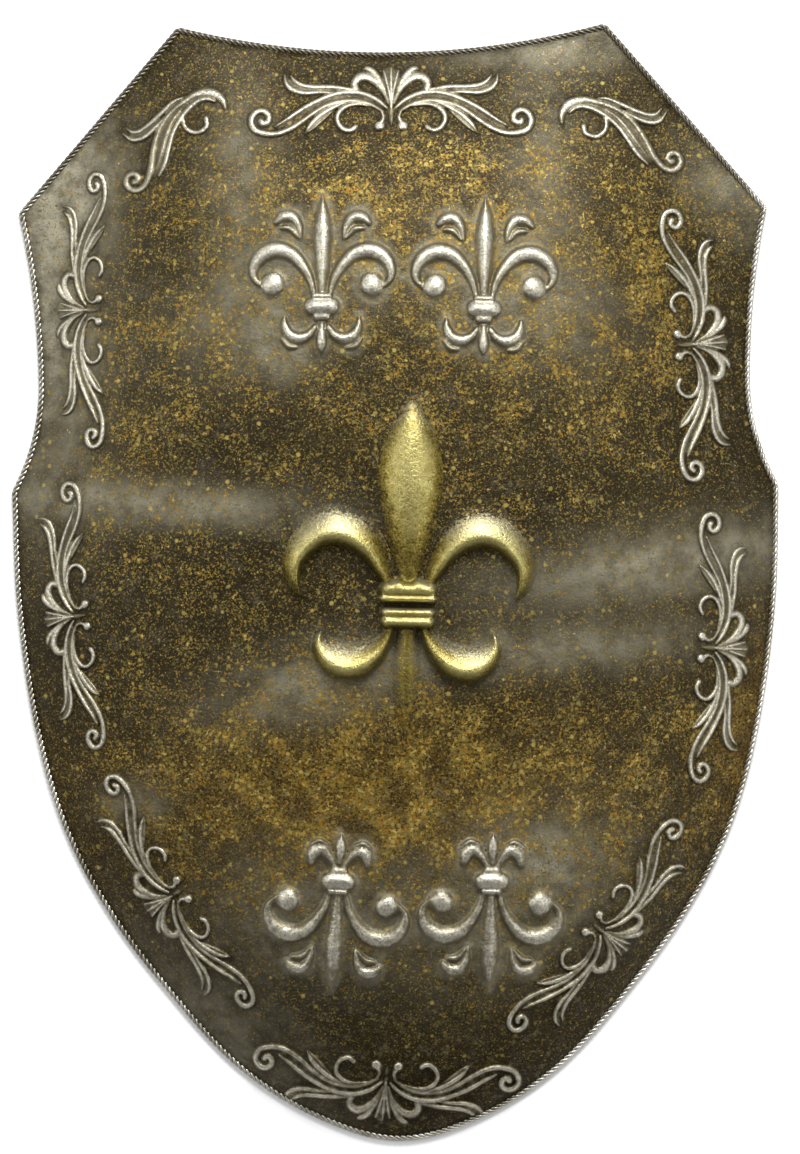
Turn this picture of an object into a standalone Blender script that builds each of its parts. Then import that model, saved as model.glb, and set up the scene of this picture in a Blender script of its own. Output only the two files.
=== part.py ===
"""A knight's display shield: one embossed steel sheet, edged with a twisted rope of wire.

The shield lies on its back with its face up. X runs across it, Y up it towards the top edge,
and Z out of the face. The origin is on the surface it lies on, under the middle of its outline.
All sizes are in metres.
"""

import math

import bmesh
import bpy
import numpy as np
from mathutils import Vector, geometry

# The outline, as seen from the front
shield_height = 0.700
hip_half_width = 0.2405
waist_half_width = 0.2230
shoulder_half_width = 0.2347
top_half_width = 0.1340
top_dip = 0.0170
shoulder_drop = 0.1160
waist_drop = 0.2250
hip_drop = 0.2900

# Stations of the lower flank: share of the hip's half-width, share of the way from hip to tip
lower_flank = ((0.990, 0.173), (0.948, 0.356), (0.878, 0.509), (0.766, 0.640),
               (0.614, 0.763), (0.424, 0.886), (0.212, 0.966))

# The sheet, how far it is dished, and over what distance it falls away to each edge
sheet_thickness = 0.0014
dish_depth = 0.075
side_power = 2.5
slant_fall = 0.055
top_fall = 0.080
tip_fall = 0.110

# The rope of wire round the edge, soldered on with a fine gap
rope_radius = 0.0021
rope_gap = 0.0003

# The stamped ornaments: their lengths, and how far each stands out of the sheet
spray_length = 0.168
spray_relief = 0.0023
corner_length = 0.084
corner_relief = 0.0023
small_fleur_height = 0.070
small_fleur_relief = 0.0044
great_fleur_height = 0.126
great_fleur_relief = 0.0105

# Sprays along the edge: share of the height down from the top, distance in from the edge,
# direction their shell points, length as a share of spray_length, and depth across the line
left_sprays = ((0.254, 0.0330, 179.1, 1.057, 0.70), (0.527, 0.0356, 185.5, 1.024, 0.74),
               (0.7755, 0.0474, 211.1, 1.032, 0.75))
right_sprays = ((0.2897, 0.0370, 4.2, 1.043, 0.86), (0.5603, 0.0357, -3.0, 1.030, 0.81),
                (0.810, 0.0465, -39.5, 1.023, 0.80))
top_spray_drop = 0.0398
top_spray_turn = 89.7
top_spray_share = 1.08
bottom_spray_rise = 0.0414
bottom_spray_offset = -0.0087
bottom_spray_turn = -95.8
bottom_spray_share = 1.022

# Corner scrolls: distance in from the corner each way, and the direction they run
left_corner = (0.0297, 0.0516, -144.5)
right_corner = (0.0277, 0.0626, -16.2)

# Small lilies: side, share of the height down to the collar, direction of the spear, share of its length
small_fleurs = ((-0.0444, 0.2536, 89.1, 1.0), (0.0560, 0.2571, 88.5, 1.0),
                (-0.0373, 0.7645, -94.4, 0.957), (0.0578, 0.7656, -92.2, 0.957))
great_fleur_offset = 0.0073
great_fleur_share = 0.5193
great_fleur_turn = 88.3

# How finely the solid is faceted
rim_step = 0.016
ground_step = 0.029
weld_distance = 0.0007
edge_margin = 0.0030
sliver = 0.00001
broad_line = 0.0060
taper_power = 0.6
cover_share = 0.3
corner_facets = 12
rope_sides_resolution = 2

# The ornaments are drawn at these sizes, in millimetres
drawn_spray = 168.0
drawn_corner = 84.0
drawn_small_fleur = 70.0
drawn_great_fleur = 126.0


def clear_scene():
    for old in list(bpy.data.objects):
        bpy.data.objects.remove(old, do_unlink=True)


def smooth_curve(stations, steps):
    """Points on a curve that runs evenly through the given stations."""
    knots = np.array(stations, float)
    padded = np.vstack([2 * knots[0] - knots[1], knots, 2 * knots[-1] - knots[-2]])
    share = np.linspace(0.0, 1.0, steps, endpoint=False)[:, None]
    spans = []
    for before, start, end, after in zip(padded, padded[1:], padded[2:], padded[3:]):
        bend = 2 * before - 5 * start + 4 * end - after
        twist = 3 * start - before - 3 * end + after
        spans.append(start + 0.5 * ((end - before) * share + bend * share**2 + twist * share**3))
    return np.vstack(spans + [knots[-1:]])


def even_steps(path, step):
    """The path sampled anew at even steps, with its ends kept."""
    length = np.concatenate([[0.0], np.cumsum(np.linalg.norm(np.diff(path[:, :2], axis=0), axis=1))])
    count = max(2, math.ceil(length[-1] / step) + 1)
    places = np.linspace(0.0, length[-1], count)
    return np.stack([np.interp(places, length, column) for column in path.T], axis=1)


def outline_sections(step):
    """The right half of the outline from the tip up: lower flank, waist, slant and top edge."""
    top_y = shield_height / 2
    hip_y = top_y - hip_drop
    waist_y = top_y - waist_drop
    shoulder_y = top_y - shoulder_drop
    stations = [(hip_half_width * across, hip_y - down * (hip_y + top_y)) for across, down in lower_flank]
    stations = [(hip_half_width, hip_y)] + stations + [(0.0, -top_y)]
    mirror = (-stations[-2][0], stations[-2][1])
    rounded = smooth_curve(stations + [mirror], corner_facets)[:-corner_facets]
    lower = even_steps(rounded[::-1], step)

    rise = np.linspace(0.0, 1.0, 24)
    below = waist_half_width + (hip_half_width - waist_half_width) * (1 - rise)**2
    above = waist_half_width + (shoulder_half_width - waist_half_width) * rise**2
    hollow = np.vstack([
        np.stack([below, hip_y + rise * (waist_y - hip_y)], axis=1),
        np.stack([above, waist_y + rise * (shoulder_y - waist_y)], axis=1)[1:],
    ])
    waist = even_steps(hollow, step)
    slant = even_steps(np.array([(shoulder_half_width, shoulder_y), (top_half_width, top_y)]), step)

    radius = (top_half_width**2 + top_dip**2) / (2 * top_dip)
    half_angle = math.asin(min(1.0, top_half_width / radius))
    angles = np.linspace(half_angle, 0.0, 24)
    dip_y = top_y - top_dip + radius
    arc = np.stack([radius * np.sin(angles), dip_y - radius * np.cos(angles)], axis=1)
    return lower, waist, slant, even_steps(arc, step)


def outline_loop(step):
    """The whole outline, counter-clockwise from the tip, and where the right half's corners fall."""
    sections = outline_sections(step)
    right = np.vstack([section[:-1] for section in sections] + [sections[-1][-1:]])
    right[-1, 0] = 0.0
    corners = np.cumsum([len(section) - 1 for section in sections])
    left = right[1:-1][::-1] * (-1, 1)
    return np.vstack([right, left]), corners


def inset_loop(loop, distance):
    """The closed loop moved inwards by an even distance, with mitred corners."""
    ahead = np.roll(loop, -1, axis=0) - loop
    ahead /= np.linalg.norm(ahead, axis=1)[:, None]
    inward = np.stack([-ahead[:, 1], ahead[:, 0]], axis=1)
    before = np.roll(inward, 1, axis=0)
    share = 1.0 + (inward * before).sum(axis=1)
    return loop + distance * (inward + before) / share[:, None]


class Dish:
    """The dished face of the sheet, level all round its edge."""

    def __init__(self, edge, corners):
        _, shoulder, corner, middle = corners
        self.flank = edge[:shoulder + 1]
        self.shoulder = edge[shoulder]
        self.slant = (edge[corner] - edge[shoulder]) / np.linalg.norm(edge[corner] - edge[shoulder])
        self.top = edge[corner:middle + 1][::-1]

    def width_at(self, y):
        return np.interp(y, self.flank[:, 1], self.flank[:, 0])

    def height(self, x, y):
        wide = self.width_at(y)
        across = np.clip(np.abs(x) / np.maximum(wide, weld_distance), 0.0, 1.0)
        from_slant = (self.shoulder[0] - np.abs(x)) * self.slant[1]
        from_slant = from_slant - (self.shoulder[1] - y) * self.slant[0]
        from_top = np.interp(np.abs(x), self.top[:, 0], self.top[:, 1]) - y
        rise = 1.0 - across**side_power
        for distance, fall in ((from_slant, slant_fall), (from_top, top_fall),
                               (y - self.flank[0, 1], tip_fall)):
            rise = rise * (1.0 - np.exp(-np.maximum(distance, 0.0) / fall))
        return dish_depth * rise

    def slope(self, x, y):
        side = self.height(x + weld_distance, y) - self.height(x - weld_distance, y)
        up = self.height(x, y + weld_distance) - self.height(x, y - weld_distance)
        return np.hypot(side, up) / (2 * weld_distance)


def edge_distance(points, edge):
    """How far each point lies inside the closed edge; negative outside it."""
    start, run = edge, np.roll(edge, -1, axis=0) - edge
    offset = points[:, None, :] - start[None]
    share = np.clip((offset * run).sum(axis=2) / (run**2).sum(axis=1), 0.0, 1.0)
    nearest = np.linalg.norm(offset - share[:, :, None] * run, axis=2).min(axis=1)
    below = offset[:, :, 1] < 0.0
    crosses = below != np.roll(below, -1, axis=1)
    rise = np.where(run[:, 1] == 0.0, 1.0, run[:, 1])
    at_x = start[:, 0] + (points[:, 1:2] - start[:, 1]) * run[:, 0] / rise
    inside = (crosses & (points[:, 0:1] < at_x)).sum(axis=1) % 2 == 1
    return np.where(inside, nearest, -nearest)


def line(stations, crown=1.0, lean=0.0, power=2.0, steps=1):
    """One raised line of an ornament: x, y and half-width at its stations, drawn in millimetres.

    Its crown is a share of the ornament's relief, and leans to one side of its middle.
    """
    return {"course": smooth_curve(stations, steps), "crown": crown, "lean": lean, "power": power}


def curl(eye, radius, start, turns, wide, close=0.17, sides=6):
    """Stations that wind in round an eye from a radius and a start angle in degrees."""
    count = max(2, round(abs(turns) * sides))
    share = np.linspace(0.0, 1.0, count + 1)
    angle = np.radians(start) + share * turns * 2 * math.pi
    reach = radius * (1.0 - share * (1.0 - close))
    return [(eye[0] + r * math.cos(a), eye[1] + r * math.sin(a), wide) for r, a in zip(reach, angle)]


def mirrored(lines):
    return [{**one, "course": one["course"] * (-1, 1, 1), "lean": -one["lean"]} for one in lines]


def half_spray():
    """Half of a leafy spray: S-scrolls that end in a curl, with leaves and half of the shell."""
    rib = [(4.7, 1, 1.1), (14, 6.2, 1.6), (29.6, 6.9, 1.8), (44, 1, 1.8), (56, -7.6, 1.9),
           (66, -11.8, 2)] + curl((74.2, -3.4), 8.6, -95, 1.2, 2)
    return [
        line(rib),
        line([(2.8, 3.4, 1.2), (15.6, 11.6, 1.8), (33.5, 11.2, 1.8), (50, 3.4, 1.7), (67, -7.6, 0.9)]),
        line([(25, 7, 1), (38, 0.8, 2.2), (49.6, -11.6, 0.8)]),
        line([(12, 4.2, 0.9), (25.5, 4.4, 1.7), (31, -3.4, 1.8), (20.4, -9, 1.8)]),
        line([(6.2, -8, 3.1), (6.8, -8, 3.1)]),
        line([(21, 14, 1.1), (40, 14.4, 2.4), (52, 14.8, 2.6), (59.6, 20.6, 1.2)]),
        line([(1.6, 6, 1.2), (8.6, 18.6, 2.7), (18.4, 21.6, 3), (20.4, 14.4, 2.6)]),
        line([(2.4, 10, 1), (8.8, 23, 2.2), (15, 27, 1.5)]),
    ]


def spray():
    shell = line([(0, 4, 1.6), (0, 18, 4.2), (0, 27, 1.4)])
    return half_spray() + mirrored(half_spray()) + [shell]


def corner_scroll():
    """A half spray that bends round a top corner, drawn along its own line."""
    rib = [(0.2, -1.2, 1.8), (1, 11.2, 3.3), (12, 17, 2.8), (34.5, 16, 2.1), (51.6, 6, 2.1),
           (61, -4.2, 2.2), (68.4, -9.5, 2.1)] + curl((74.4, -3), 7.2, -85, 1.15, 2.1)
    return [
        line(rib),
        line([(3.1, 6.8, 1), (10.7, 12.9, 1.5), (26.7, 13.4, 1.6), (41.5, 5.6, 1.6), (49.2, -10.2, 0.8)]),
        line([(26.1, 12, 0.9), (36, 4.6, 1.6), (44.4, -7.1, 0.8)]),
        line([(22.2, 12.5, 1), (29.6, 4, 1.6), (26, -4.2, 1.8), (18, -2, 1.9)]),
        line([(17.9, 20.6, 1), (37, 19.2, 1.9), (52, 18.2, 2.4), (61, 24, 1)]),
    ]


def half_small_fleur():
    """Half of a small lily, measured from the middle of its collar."""
    petal = [(5, 6.4, 2.6), (7.6, 16.4, 3.4), (13.4, 26, 4.2), (20.6, 32.6, 4.9), (29.4, 34.8, 5.1),
             (37.4, 31.4, 4.6), (41.8, 24.6, 3.4), (41.4, 17.6, 2.4), (37, 12.8, 1.6)]
    return [
        line(petal, lean=0.15, power=2.3),
        line([(31, 13.2, 6.6), (29.8, 14.2, 6.6)], power=3.2),
        line([(13.4, 41.5, 1.6), (14.6, 49.4, 3), (18.8, 55.4, 3.9), (28.6, 52.4, 2)], crown=0.95),
        line([(4, -13.6, 2.6), (8.2, -18.6, 3.6), (14.2, -20.8, 4.6), (20.2, -18.2, 4.2), (23.2, -7.4, 1.4)]),
    ]


def small_fleur(spear_share):
    spear = [(0, 7.5, 3)]
    spear += [(0, spear_share * y, wide) for y, wide in ((20, 4.4), (46, 6.4), (57, 4.8), (70, 0.8))]
    return half_small_fleur() + mirrored(half_small_fleur()) + [
        line(spear, power=1.8),
        line([(-4.6, 5.8, 2.6), (4.6, 5.8, 2.6)]),
        line([(-7, 0, 4.6), (7, 0, 4.6)], crown=1.35),
        line([(-2.6, -6.8, 3.6), (2.6, -6.8, 3.6)], crown=0.9),
        line([(0, -12, 2.6), (0, -22.5, 4.2), (0, -29.5, 1.2)], power=1.8),
    ]


def half_great_fleur():
    """Half of the great lily, measured from the middle of its collar."""
    petal = [(11.5, 12, 4.2), (15.8, 22, 6.4), (23.2, 34.6, 9.2), (33.2, 43.6, 11.6), (45, 47.2, 12.4),
             (57, 44.4, 11.8), (66.6, 35.6, 10), (72, 24.4, 7.6), (71.4, 13.4, 5), (67.4, 5, 1.8)]
    hook = [(10.8, -14, 3.6), (14.8, -22.2, 6.2), (21.5, -30.4, 9.2), (30.5, -36, 11.6), (40, -36.8, 11.6),
            (48.4, -32.4, 9.2), (53.4, -25, 5.6), (53.2, -17.6, 1.6)]
    return [
        line(petal, lean=-0.38, power=1.45, steps=2),
        line(hook, crown=0.95, lean=-0.3, power=1.45, steps=2),
    ]


def great_fleur():
    spear = [(0, 13, 8), (0, 24, 9.6), (0, 41, 14.6), (0, 60, 19.4), (0, 76, 22), (0, 90, 21.4),
             (0, 104, 16.6), (0, 117, 9), (0, 128, 0.8)]
    return half_great_fleur() + mirrored(half_great_fleur()) + [
        line(spear, crown=0.95, power=2),
        line([(-14, 8, 6.4), (14, 8, 6.4)], crown=1.25, power=2.6),
        line([(-13, -7.8, 7), (13, -7.8, 7)], crown=1.15, power=2.6),
        line([(0, -13, 6), (0, -24, 7.8), (0, -38, 9.6), (0, -52, 9), (0, -66, 6.4), (0, -80, 1.6)],
             crown=0.55, power=1.8),
    ]


def placed(lines, middle, turn, scale, relief, squeeze=1.0):
    """The lines of an ornament set down on the plan, in metres."""
    angle = math.radians(turn)
    along = np.array([math.cos(angle), math.sin(angle)])
    across = np.array([-along[1], along[0]])
    done = []
    for one in lines:
        x, y, wide = one["course"].T
        # The ornament's own +Y points along the turn
        spot = np.outer(y * squeeze, along) - np.outer(x, across)
        course = np.column_stack([np.array(middle) + scale * spot, scale * wide * math.sqrt(squeeze)])
        done.append({**one, "course": course, "relief": relief * one["crown"]})
    return done


def all_ornaments(dish_face):
    """Every raised line of the shield, each set from the edge that it follows."""
    top_y = shield_height / 2
    spray_scale = spray_length / drawn_spray
    corner_scale = corner_length / drawn_corner
    small_scale = small_fleur_height / drawn_small_fleur
    great_scale = great_fleur_height / drawn_great_fleur

    top = (0.0, top_y - top_dip - top_spray_drop)
    lines = placed(spray(), top, top_spray_turn, spray_scale * top_spray_share, spray_relief)
    bottom = (bottom_spray_offset, -top_y + bottom_spray_rise)
    lines += placed(spray(), bottom, bottom_spray_turn, spray_scale * bottom_spray_share, spray_relief)
    for side, sprays in ((-1, left_sprays), (1, right_sprays)):
        for down, inset, turn, share, squeeze in sprays:
            y = top_y - down * shield_height
            x = side * (dish_face.width_at(y) - inset)
            lines += placed(spray(), (x, y), turn, spray_scale * share, spray_relief, squeeze)
    for side, (in_x, in_y, turn) in ((-1, left_corner), (1, right_corner)):
        spot = (side * (top_half_width - in_x), top_y - in_y)
        scroll = mirrored(corner_scroll()) if side < 0 else corner_scroll()
        lines += placed(scroll, spot, turn + side * 90, corner_scale, corner_relief)
    for x, down, turn, spear_share in small_fleurs:
        spot = (x, top_y - down * shield_height)
        lines += placed(small_fleur(spear_share), spot, turn, small_scale, small_fleur_relief)
    collar = (great_fleur_offset, top_y - great_fleur_share * shield_height)
    great = placed(great_fleur(), collar, great_fleur_turn, great_scale, great_fleur_relief)
    return lines, great


def raised(points, lines):
    """How far the raised lines lift each point of the plan out of the dished face."""
    lift = np.zeros(len(points))
    for one in lines:
        course = one["course"]
        widest = course[:, 2].max()
        low, high = course[:, :2].min(axis=0) - widest, course[:, :2].max(axis=0) + widest
        near = np.flatnonzero(((points > low) & (points < high)).all(axis=1))
        if not len(near):
            continue
        start, run = course[:-1], np.diff(course, axis=0)
        offset = points[near][:, None, :] - start[None, :, :2]
        square = np.maximum((run[:, :2]**2).sum(axis=1), weld_distance**4)
        share = np.clip((offset * run[:, :2]).sum(axis=2) / square, 0.0, 1.0)
        gap = offset - share[:, :, None] * run[None, :, :2]
        wide = start[:, 2] + share * run[:, 2]
        reach = np.linalg.norm(gap, axis=2) / np.maximum(wide, weld_distance / 10)
        best = reach.argmin(axis=1)
        rows = np.arange(len(near))
        side = run[best, 0] * gap[rows, best, 1] - run[best, 1] * gap[rows, best, 0]
        across = reach[rows, best] * np.where(side < 0.0, -1.0, 1.0)
        lean = one["lean"]
        from_crown = np.where(across < lean, (lean - across) / (1.0 + lean), (across - lean) / (1.0 - lean))
        profile = 1.0 - np.clip(from_crown, 0.0, 1.0)**one["power"]
        height = one["relief"] * (wide[rows, best] / widest)**taper_power * profile
        lift[near] = np.maximum(lift[near], height)
    return lift


class Plan:
    """Points and fixed lines of the sheet as seen from above, welded as they are added."""

    def __init__(self):
        self.points = []
        self.edges = []
        self.cells = {}

    def add(self, spot):
        cell = (math.floor(spot[0] / weld_distance), math.floor(spot[1] / weld_distance))
        for column in (-1, 0, 1):
            for row in (-1, 0, 1):
                for found in self.cells.get((cell[0] + column, cell[1] + row), ()):
                    if math.dist(self.points[found], spot) < weld_distance:
                        return found
        self.points.append((float(spot[0]), float(spot[1])))
        self.cells.setdefault(cell, []).append(len(self.points) - 1)
        return len(self.points) - 1

    def add_line(self, spots, keep, closed=False):
        """Fix the stretches of a line between neighbours that are both kept."""
        found = [self.add(spot) if kept else None for spot, kept in zip(spots, keep)]
        for here, there in zip(found, found[1:] + found[:1] if closed else found[1:]):
            if here is not None and there is not None and here != there:
                self.edges.append((here, there))

    def triangles(self, edge):
        spots = [Vector(point) for point in self.points]
        points, _, faces, *_ = geometry.delaunay_2d_cdt(spots, self.edges, [], 0, sliver / 10)
        points = np.array([tuple(point) for point in points])
        faces = np.array(faces)
        middles = points[faces].mean(axis=1)
        return points, faces[edge_distance(middles, edge) > sliver]


def lay_out(edge, lines):
    """The plan of one face of the sheet: its edge, its raised lines and the ground between."""
    plan = Plan()
    plan.add_line(edge, [True] * len(edge), closed=True)
    for one in lines:
        course = one["course"]
        ahead = np.gradient(course[:, :2], axis=0)
        ahead /= np.maximum(np.linalg.norm(ahead, axis=1), weld_distance / 10)[:, None]
        beside = np.stack([-ahead[:, 1], ahead[:, 0]], axis=1)
        others = [other for other in lines if other is not one]
        lean = one["lean"]
        broad = course[:, 2].max() > broad_line
        rows = (-1, lean, 1) if not broad else (-1, (lean - 1) / 2, lean, (lean + 1) / 2, 1)
        for across in rows:
            spots = course[:, :2] + beside * course[:, 2:] * across
            own = one["relief"] if abs(across) < 1 else 0.0
            covered = raised(spots, others) > own + cover_share * one["relief"]
            keep = (edge_distance(spots, edge) > edge_margin) & ~covered
            plan.add_line(spots, keep)
    return plan


def add_ground(plan, edge, lines):
    """Points of the bare ground, in staggered rows that keep clear of what is there."""
    low, high = edge.min(axis=0), edge.max(axis=0)
    row_step = ground_step * math.sqrt(0.75)
    rows = []
    for row, y in enumerate(np.arange(low[1] + row_step / 2, high[1], row_step)):
        reach = math.ceil(high[0] / ground_step)
        columns = (np.arange(-reach, reach + 1) + 0.5 * (row % 2)) * ground_step
        rows.append(np.stack([columns, np.full(len(columns), y)], axis=1))
    spots = np.vstack(rows)
    clear = (edge_distance(spots, edge) > ground_step * 0.4) & (raised(spots, lines) == 0.0)
    taken = np.array(plan.points)
    for spot in spots[clear]:
        if np.linalg.norm(taken - spot, axis=1).min() > ground_step * 0.25:
            plan.add(spot)


def painted(name, colour, roughness, metallic):
    material = bpy.data.materials.new(name)
    material.use_nodes = True
    shader = material.node_tree.nodes["Principled BSDF"]
    shader.inputs["Base Color"].default_value = (*colour, 1.0)
    shader.inputs["Roughness"].default_value = roughness
    shader.inputs["Metallic"].default_value = metallic
    return material


def make_shell(collection, edge, corners, edge_z):
    """The embossed sheet: its worked face, and a plainer back that follows the dish."""
    dish_face = Dish(edge, corners)
    lines, great = all_ornaments(dish_face)
    sheet = bmesh.new()
    rims = []
    for front in (True, False):
        shown = lines + great if front else great
        plan = lay_out(edge, shown)
        add_ground(plan, edge, shown)
        points, faces = plan.triangles(edge)
        x, y = points.T
        fade = np.clip(edge_distance(points, edge) / edge_margin, 0.0, 1.0)
        z = edge_z + dish_face.height(x, y) + fade * raised(points, shown)
        if not front:
            z = z - sheet_thickness * np.sqrt(1.0 + np.where(fade > 0.0, dish_face.slope(x, y), 0.0)**2)
        made = [sheet.verts.new((px, py, pz)) for px, py, pz in zip(x, y, z)]
        for face in faces:
            corner_verts = [made[index] for index in face]
            a, b, c = points[face]
            turns_left = (b[0] - a[0]) * (c[1] - a[1]) - (b[1] - a[1]) * (c[0] - a[0]) > 0.0
            sheet.faces.new(corner_verts if turns_left == front else corner_verts[::-1])
        rims.append(made[:len(edge)])
    top_rim, back_rim = rims
    for here in range(len(edge)):
        there = (here + 1) % len(edge)
        sheet.faces.new((top_rim[here], back_rim[here], back_rim[there], top_rim[there]))
    bmesh.ops.triangulate(sheet, faces=[face for face in sheet.faces if len(face.verts) > 3])
    bmesh.ops.remove_doubles(sheet, verts=sheet.verts, dist=weld_distance / 4)
    bmesh.ops.dissolve_degenerate(sheet, edges=sheet.edges, dist=weld_distance / 10)
    loose = [vert for vert in sheet.verts if not vert.link_faces]
    bmesh.ops.delete(sheet, geom=loose, context="VERTS")
    mesh = bpy.data.meshes.new("shell")
    sheet.to_mesh(mesh)
    sheet.free()
    shell = bpy.data.objects.new("shell", mesh)
    shell.data.materials.append(painted("bronzed_steel", (0.075, 0.062, 0.035), 0.42, 0.75))
    collection.objects.link(shell)


def make_rim_rope(collection, outline, half_side, rope_middle):
    """The rope edging: a closed tube with a flat underside, which the shield lies on."""
    middle_line = inset_loop(outline, rope_radius)
    curve = bpy.data.curves.new("rim_rope", "CURVE")
    curve.dimensions = "3D"
    curve.twist_mode = "Z_UP"
    curve.bevel_depth = rope_radius
    curve.bevel_resolution = rope_sides_resolution
    spline = curve.splines.new("POLY")
    spline.points.add(len(middle_line) - 1)
    for point, (x, y) in zip(spline.points, middle_line):
        point.co = (x, y, rope_middle, 1.0)
        point.tilt = half_side
    spline.use_cyclic_u = True
    curve.materials.append(painted("silvered_wire", (0.62, 0.60, 0.54), 0.32, 1.0))
    rope = bpy.data.objects.new("rim_rope", curve)
    collection.objects.link(rope)


def main():
    clear_scene()
    collection = bpy.data.collections.new("knight_shield")
    bpy.context.scene.collection.children.link(collection)
    outline, corners = outline_loop(rim_step)
    half_side = math.pi / (4 + 2 * rope_sides_resolution)
    rope_middle = rope_radius * math.cos(half_side)
    edge = inset_loop(outline, 2 * rope_radius + rope_gap)
    make_shell(collection, edge, corners, rope_middle + sheet_thickness / 2)
    make_rim_rope(collection, outline, half_side, rope_middle)


main()
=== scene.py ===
"""A knight's display shield, dressed for its picture: embossed and patinated steel, edged with a
twisted rope of wire. It lies face up on a pale floor, and the camera looks straight down on it."""

import math

import bpy
import numpy as np
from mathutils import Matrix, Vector, geometry, kdtree, noise


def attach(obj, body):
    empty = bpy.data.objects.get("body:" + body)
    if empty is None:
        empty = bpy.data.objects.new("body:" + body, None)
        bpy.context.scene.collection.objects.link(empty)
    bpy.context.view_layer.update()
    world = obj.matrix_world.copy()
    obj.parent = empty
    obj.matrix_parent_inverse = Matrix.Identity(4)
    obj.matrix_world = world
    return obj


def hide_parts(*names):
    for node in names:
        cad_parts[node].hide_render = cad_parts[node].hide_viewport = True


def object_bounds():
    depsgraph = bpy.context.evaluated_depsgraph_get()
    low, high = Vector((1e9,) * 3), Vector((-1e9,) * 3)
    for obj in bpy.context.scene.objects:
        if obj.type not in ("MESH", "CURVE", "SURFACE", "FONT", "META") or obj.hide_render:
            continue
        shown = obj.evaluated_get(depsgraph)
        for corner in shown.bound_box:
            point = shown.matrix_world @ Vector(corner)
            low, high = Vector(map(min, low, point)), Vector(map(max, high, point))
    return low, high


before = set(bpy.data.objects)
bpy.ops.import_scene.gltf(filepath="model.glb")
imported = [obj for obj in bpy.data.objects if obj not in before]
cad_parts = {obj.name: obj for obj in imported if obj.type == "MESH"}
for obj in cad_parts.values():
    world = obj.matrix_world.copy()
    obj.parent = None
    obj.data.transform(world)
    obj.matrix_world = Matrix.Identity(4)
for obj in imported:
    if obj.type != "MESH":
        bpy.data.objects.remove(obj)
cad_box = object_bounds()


# The sheet is one piece of steel, dished under the hammer and then chased from behind: leafy
# sprays along the edge, four small lilies and one great lily. It is bronzed dark, spattered
# with gold, rubbed back to silver on the small ornaments and gilded on the great lily.

shield_height = cad_box[1][1] - cad_box[0][1]
shield_half_width = (cad_box[1][0] - cad_box[0][0]) / 2
hip_half_width = shield_half_width
waist_half_width = 0.2230
shoulder_half_width = 0.2347
top_half_width = 0.1340
top_dip = 0.0170
shoulder_drop = 0.1160
waist_drop = 0.2250
hip_drop = 0.2900

# Stations of the lower flank: share of the hip's half-width, share of the way from hip to tip
lower_flank = ((0.990, 0.173), (0.948, 0.356), (0.878, 0.509), (0.766, 0.640),
               (0.614, 0.763), (0.424, 0.886), (0.212, 0.966))
sheet_thickness = 0.0014
dish_depth = 0.075
side_power = 2.5
slant_fall = 0.055
top_fall = 0.080
tip_fall = 0.110
rope_radius = 0.0021
edge_inset = 1.2 * rope_radius
millimetre = 0.001


def smooth_curve(stations, steps):
    """Points on a curve that runs evenly through the given stations."""
    knots = np.array(stations, float)
    padded = np.vstack([2 * knots[0] - knots[1], knots, 2 * knots[-1] - knots[-2]])
    share = np.linspace(0.0, 1.0, steps, endpoint=False)[:, None]
    spans = []
    for before, start, end, after in zip(padded, padded[1:], padded[2:], padded[3:]):
        bend = 2 * before - 5 * start + 4 * end - after
        twist = 3 * start - before - 3 * end + after
        spans.append(start + 0.5 * ((end - before) * share + bend * share**2 + twist * share**3))
    return np.vstack(spans + [knots[-1:]])


def even_steps(path, step):
    """The path sampled anew at even steps, with its ends kept."""
    length = np.concatenate([[0.0], np.cumsum(np.linalg.norm(np.diff(path[:, :2], axis=0), axis=1))])
    count = max(2, math.ceil(length[-1] / step) + 1)
    places = np.linspace(0.0, length[-1], count)
    return np.stack([np.interp(places, length, column) for column in path.T], axis=1)


def outline_loop(step):
    """The whole outline, counter-clockwise from the tip, and where the right half's corners fall."""
    top_y = shield_height / 2
    hip_y = top_y - hip_drop
    waist_y = top_y - waist_drop
    shoulder_y = top_y - shoulder_drop
    stations = [(hip_half_width, hip_y)]
    stations += [(hip_half_width * across, hip_y - down * (hip_y + top_y)) for across, down in lower_flank]
    stations += [(0.0, -top_y)]
    mirror = (-stations[-2][0], stations[-2][1])
    lower = smooth_curve(stations + [mirror], 12)[:-12][::-1]
    rise = np.linspace(0.0, 1.0, 24)
    below = waist_half_width + (hip_half_width - waist_half_width) * (1 - rise)**2
    above = waist_half_width + (shoulder_half_width - waist_half_width) * rise**2
    waist = np.vstack([
        np.stack([below, hip_y + rise * (waist_y - hip_y)], axis=1),
        np.stack([above, waist_y + rise * (shoulder_y - waist_y)], axis=1)[1:],
    ])
    slant = np.array([(shoulder_half_width, shoulder_y), (top_half_width, top_y)])
    radius = (top_half_width**2 + top_dip**2) / (2 * top_dip)
    angles = np.linspace(math.asin(top_half_width / radius), 0.0, 24)
    arc = np.stack([radius * np.sin(angles), top_y - top_dip + radius * (1 - np.cos(angles))], axis=1)
    sections = [even_steps(section, step) for section in (lower, waist, slant, arc)]
    right = np.vstack([section[:-1] for section in sections] + [sections[-1][-1:]])
    corners = np.cumsum([len(section) - 1 for section in sections])
    return np.vstack([right, right[1:-1][::-1] * (-1, 1)]), corners


def inset_loop(loop, distance):
    """The closed loop moved inwards by an even distance, with mitred corners."""
    ahead = np.roll(loop, -1, axis=0) - loop
    ahead /= np.linalg.norm(ahead, axis=1)[:, None]
    inward = np.stack([-ahead[:, 1], ahead[:, 0]], axis=1)
    before = np.roll(inward, 1, axis=0)
    share = 1.0 + (inward * before).sum(axis=1)
    return loop + distance * (inward + before) / share[:, None]


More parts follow.
